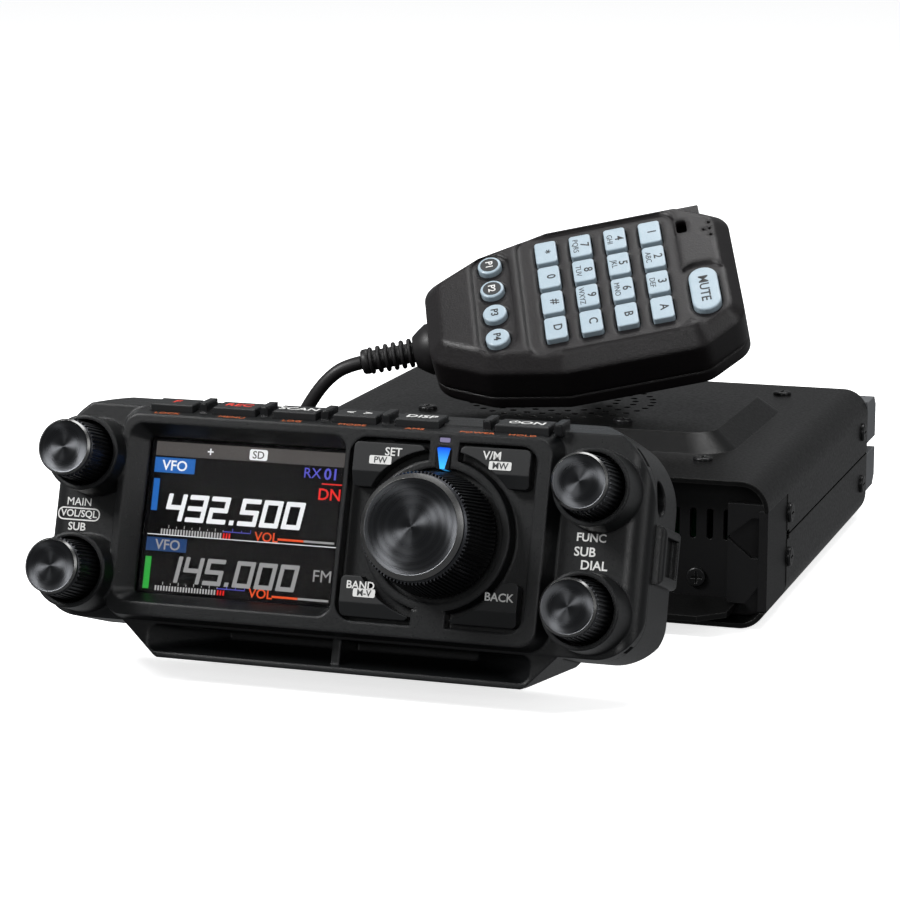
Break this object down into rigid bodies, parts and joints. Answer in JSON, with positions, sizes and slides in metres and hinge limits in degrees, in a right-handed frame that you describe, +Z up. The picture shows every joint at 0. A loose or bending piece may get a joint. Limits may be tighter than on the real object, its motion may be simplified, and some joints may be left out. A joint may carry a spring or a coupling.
{
  "type": "mobile transceiver",
  "caption": "Mobile radio transceiver: sheet-metal body with heat sink and fan, tilted control head with dial, knobs and keys, and a keypad hand microphone on a cord.",
  "frame": {"origin": "middle of the radio body's underside, on the surface it stands on", "axes": "+X to the operator's right, +Y away from the operator towards the heat sink, +Z up"},
  "size_m": [0.2031, 0.2529, 0.0922],
  "materials": {
    "black_plastic": "fine moulded grain",
    "mic_plastic": "satin moulded grain",
    "cast_aluminium": "die-cast, bead blasted",
    "black_painted_steel": "semi-matt baked paint on pressed sheet",
    "plated_brass": "nickel plated",
    "circuit_board": "green solder mask",
    "black_screws": "black zinc",
    "display_glass": "clear cover window",
    "display_panel": "colour screen",
    "blue_lens": "blue moulded status lens",
    "speaker_steel": "zinc plated basket and magnet",
    "black_rubber": "soft moulded, slightly glossy",
    "clear_plastic": "clear modular plug",
    "stud_steel": "turned steel stud",
    "spun_cap": "knurled rubberised skirt, turned metal face",
    "grey_key": "grey moulded key",
    "pale_key": "backlit translucent moulded keys"
  },
  "bodies": {
    "radio": {"body_chassis": "cast_aluminium", "top_cover": "black_painted_steel", "bottom_cover": "black_painted_steel", "fan_frame": "black_plastic", "antenna_socket": "plated_brass", "body_circuit_board": "circuit_board", "body_screws": "black_screws", "head_bracket": "black_painted_steel", "head_front_case": "black_plastic", "head_rear_case": "black_plastic", "display_window": "display_glass", "display_module": "display_panel", "status_lens": "blue_lens", "loudspeaker": "speaker_steel", "head_circuit_board": "circuit_board", "mic_cord": "black_rubber", "mic_cord_coil": "black_rubber", "mic_plug": "clear_plastic"},
    "microphone": {"mic_front_case": "mic_plastic", "mic_back_case": "mic_plastic", "mic_strain_relief": "black_rubber", "mic_hanger_stud": "stud_steel"},
    "main_dial": {"main_dial": "spun_cap"},
    "knob_upper_left": {"knob_upper_left": "spun_cap"},
    "knob_upper_right": {"knob_upper_right": "spun_cap"},
    "knob_lower_left": {"knob_lower_left": "spun_cap"},
    "knob_lower_right": {"knob_lower_right": "spun_cap"},
    "pad_upper_left": {"pad_upper_left": "black_plastic"},
    "pad_upper_right": {"pad_upper_right": "black_plastic"},
    "pad_lower_left": {"pad_lower_left": "black_plastic"},
    "pad_lower_right": {"pad_lower_right": "black_plastic"},
    "top_key_1": {"top_key_1": "black_plastic"},
    "top_key_2": {"top_key_2": "black_plastic"},
    "top_key_3": {"top_key_3": "black_plastic"},
    "top_key_4": {"top_key_4": "black_plastic"},
    "top_key_5": {"top_key_5": "black_plastic"},
    "top_key_6": {"top_key_6": "black_plastic"},
    "mic_key_star": {"mic_key_star": "pale_key"},
    "mic_key_0": {"mic_key_0": "pale_key"},
    "mic_key_hash": {"mic_key_hash": "pale_key"},
    "mic_key_d": {"mic_key_d": "pale_key"},
    "mic_key_7": {"mic_key_7": "pale_key"},
    "mic_key_8": {"mic_key_8": "pale_key"},
    "mic_key_9": {"mic_key_9": "pale_key"},
    "mic_key_c": {"mic_key_c": "pale_key"},
    "mic_key_4": {"mic_key_4": "pale_key"},
    "mic_key_5": {"mic_key_5": "pale_key"},
    "mic_key_6": {"mic_key_6": "pale_key"},
    "mic_key_b": {"mic_key_b": "pale_key"},
    "mic_key_1": {"mic_key_1": "pale_key"},
    "mic_key_2": {"mic_key_2": "pale_key"},
    "mic_key_3": {"mic_key_3": "pale_key"},
    "mic_key_a": {"mic_key_a": "pale_key"},
    "mic_program_key_1": {"mic_program_key_1": "pale_key"},
    "mic_program_key_2": {"mic_program_key_2": "pale_key"},
    "mic_program_key_3": {"mic_program_key_3": "pale_key"},
    "mic_program_key_4": {"mic_program_key_4": "pale_key"},
    "mic_mute_key": {"mic_mute_key": "grey_key"},
    "mic_talk_key": {"mic_talk_key": "black_plastic"},
    "fan_rotor": {"fan_rotor": "black_plastic"}
  },
  "joints": [
    {"name": "main_dial_turn", "type": "hinge", "parent": "radio", "child": "main_dial", "pos_m": [0.0126, -0.15575, 0.04024], "axis": [0, -0.9489, 0.3156], "continuous": true},
    {"name": "knob_upper_left_turn", "type": "hinge", "parent": "radio", "child": "knob_upper_left", "pos_m": [-0.0723, -0.14988, 0.05156], "axis": [0, -0.9489, 0.3156], "continuous": true},
    {"name": "knob_upper_right_turn", "type": "hinge", "parent": "radio", "child": "knob_upper_right", "pos_m": [0.0483, -0.14988, 0.05156], "axis": [0, -0.9489, 0.3156], "continuous": true},
    {"name": "knob_lower_left_turn", "type": "hinge", "parent": "radio", "child": "knob_lower_left", "pos_m": [-0.0723, -0.1584, 0.02594], "axis": [0, -0.9489, 0.3156], "continuous": true},
    {"name": "knob_lower_right_turn", "type": "hinge", "parent": "radio", "child": "knob_lower_right", "pos_m": [0.0483, -0.1584, 0.02594], "axis": [0, -0.9489, 0.3156], "continuous": true},
    {"name": "pad_upper_left_press", "type": "slide", "parent": "radio", "child": "pad_upper_left", "axis": [0, 0.9489, -0.3156], "range_m": [0, 0.0008], "stiffness_N_per_m": 400},
    {"name": "pad_upper_right_press", "type": "slide", "parent": "radio", "child": "pad_upper_right", "axis": [0, 0.9489, -0.3156], "range_m": [0, 0.0008], "stiffness_N_per_m": 400},
    {"name": "pad_lower_left_press", "type": "slide", "parent": "radio", "child": "pad_lower_left", "axis": [0, 0.9489, -0.3156], "range_m": [0, 0.0008], "stiffness_N_per_m": 400},
    {"name": "pad_lower_right_press", "type": "slide", "parent": "radio", "child": "pad_lower_right", "axis": [0, 0.9489, -0.3156], "range_m": [0, 0.0008], "stiffness_N_per_m": 400},
    {"name": "top_key_1_press", "type": "slide", "parent": "radio", "child": "top_key_1", "axis": [0, 0, -1], "range_m": [0, 0.0008], "stiffness_N_per_m": 400},
    {"name": "top_key_2_press", "type": "slide", "parent": "radio", "child": "top_key_2", "axis": [0, 0, -1], "range_m": [0, 0.0008], "stiffness_N_per_m": 400},
    {"name": "top_key_3_press", "type": "slide", "parent": "radio", "child": "top_key_3", "axis": [0, 0, -1], "range_m": [0, 0.0008], "stiffness_N_per_m": 400},
    {"name": "top_key_4_press", "type": "slide", "parent": "radio", "child": "top_key_4", "axis": [0, 0, -1], "range_m": [0, 0.0008], "stiffness_N_per_m": 400},
    {"name": "top_key_5_press", "type": "slide", "parent": "radio", "child": "top_key_5", "axis": [0, 0, -1], "range_m": [0, 0.0008], "stiffness_N_per_m": 400},
    {"name": "top_key_6_press", "type": "slide", "parent": "radio", "child": "top_key_6", "axis": [0, 0, -1], "range_m": [0, 0.0008], "stiffness_N_per_m": 400},
    {"name": "microphone_lift", "type": "slide", "parent": "radio", "child": "microphone", "axis": [0, 0, 1], "range_m": [0, 0.04]},
    {"name": "mic_key_star_press", "type": "slide", "parent": "microphone", "child": "mic_key_star", "axis": [0.012, 0.5942, -0.8042], "range_m": [0, 0.0006], "stiffness_N_per_m": 400},
    {"name": "mic_key_0_press", "type": "slide", "parent": "microphone", "child": "mic_key_0", "axis": [0.012, 0.5942, -0.8042], "range_m": [0, 0.0006], "stiffness_N_per_m": 400},
    {"name": "mic_key_hash_press", "type": "slide", "parent": "microphone", "child": "mic_key_hash", "axis": [0.012, 0.5942, -0.8042], "range_m": [0, 0.0006], "stiffness_N_per_m": 400},
    {"name": "mic_key_d_press", "type": "slide", "parent": "microphone", "child": "mic_key_d", "axis": [0.012, 0.5942, -0.8042], "range_m": [0, 0.0006], "stiffness_N_per_m": 400},
    {"name": "mic_key_7_press", "type": "slide", "parent": "microphone", "child": "mic_key_7", "axis": [0.012, 0.5942, -0.8042], "range_m": [0, 0.0006], "stiffness_N_per_m": 400},
    {"name": "mic_key_8_press", "type": "slide", "parent": "microphone", "child": "mic_key_8", "axis": [0.012, 0.5942, -0.8042], "range_m": [0, 0.0006], "stiffness_N_per_m": 400},
    {"name": "mic_key_9_press", "type": "slide", "parent": "microphone", "child": "mic_key_9", "axis": [0.012, 0.5942, -0.8042], "range_m": [0, 0.0006], "stiffness_N_per_m": 400},
    {"name": "mic_key_c_press", "type": "slide", "parent": "microphone", "child": "mic_key_c", "axis": [0.012, 0.5942, -0.8042], "range_m": [0, 0.0006], "stiffness_N_per_m": 400},
    {"name": "mic_key_4_press", "type": "slide", "parent": "microphone", "child": "mic_key_4", "axis": [0.012, 0.5942, -0.8042], "range_m": [0, 0.0006], "stiffness_N_per_m": 400},
    {"name": "mic_key_5_press", "type": "slide", "parent": "microphone", "child": "mic_key_5", "axis": [0.012, 0.5942, -0.8042], "range_m": [0, 0.0006], "stiffness_N_per_m": 400},
    {"name": "mic_key_6_press", "type": "slide", "parent": "microphone", "child": "mic_key_6", "axis": [0.012, 0.5942, -0.8042], "range_m": [0, 0.0006], "stiffness_N_per_m": 400},
    {"name": "mic_key_b_press", "type": "slide", "parent": "microphone", "child": "mic_key_b", "axis": [0.012, 0.5942, -0.8042], "range_m": [0, 0.0006], "stiffness_N_per_m": 400},
    {"name": "mic_key_1_press", "type": "slide", "parent": "microphone", "child": "mic_key_1", "axis": [0.012, 0.5942, -0.8042], "range_m": [0, 0.0006], "stiffness_N_per_m": 400},
    {"name": "mic_key_2_press", "type": "slide", "parent": "microphone", "child": "mic_key_2", "axis": [0.012, 0.5942, -0.8042], "range_m": [0, 0.0006], "stiffness_N_per_m": 400},
    {"name": "mic_key_3_press", "type": "slide", "parent": "microphone", "child": "mic_key_3", "axis": [0.012, 0.5942, -0.8042], "range_m": [0, 0.0006], "stiffness_N_per_m": 400},
    {"name": "mic_key_a_press", "type": "slide", "parent": "microphone", "child": "mic_key_a", "axis": [0.012, 0.5942, -0.8042], "range_m": [0, 0.0006], "stiffness_N_per_m": 400},
    {"name": "mic_program_key_1_press", "type": "slide", "parent": "microphone", "child": "mic_program_key_1", "axis": [0.012, 0.5942, -0.8042], "range_m": [0, 0.0006], "stiffness_N_per_m": 400},
    {"name": "mic_program_key_2_press", "type": "slide", "parent": "microphone", "child": "mic_program_key_2", "axis": [0.012, 0.5942, -0.8042], "range_m": [0, 0.0006], "stiffness_N_per_m": 400},
    {"name": "mic_program_key_3_press", "type": "slide", "parent": "microphone", "child": "mic_program_key_3", "axis": [0.012, 0.5942, -0.8042], "range_m": [0, 0.0006], "stiffness_N_per_m": 400},
    {"name": "mic_program_key_4_press", "type": "slide", "parent": "microphone", "child": "mic_program_key_4", "axis": [0.012, 0.5942, -0.8042], "range_m": [0, 0.0006], "stiffness_N_per_m": 400},
    {"name": "mic_mute_key_press", "type": "slide", "parent": "microphone", "child": "mic_mute_key", "axis": [0.012, 0.5942, -0.8042], "range_m": [0, 0.0006], "stiffness_N_per_m": 400},
    {"name": "mic_talk_key_press", "type": "slide", "parent": "microphone", "child": "mic_talk_key", "axis": [0.3207, -0.7641, -0.5597], "range_m": [0, 0.0018], "stiffness_N_per_m": 400},
    {"name": "fan_rotor_turn", "type": "hinge", "parent": "radio", "child": "fan_rotor", "pos_m": [0, 0.0705, 0.01835], "axis": [0, 1, 0], "continuous": true}
  ]
}
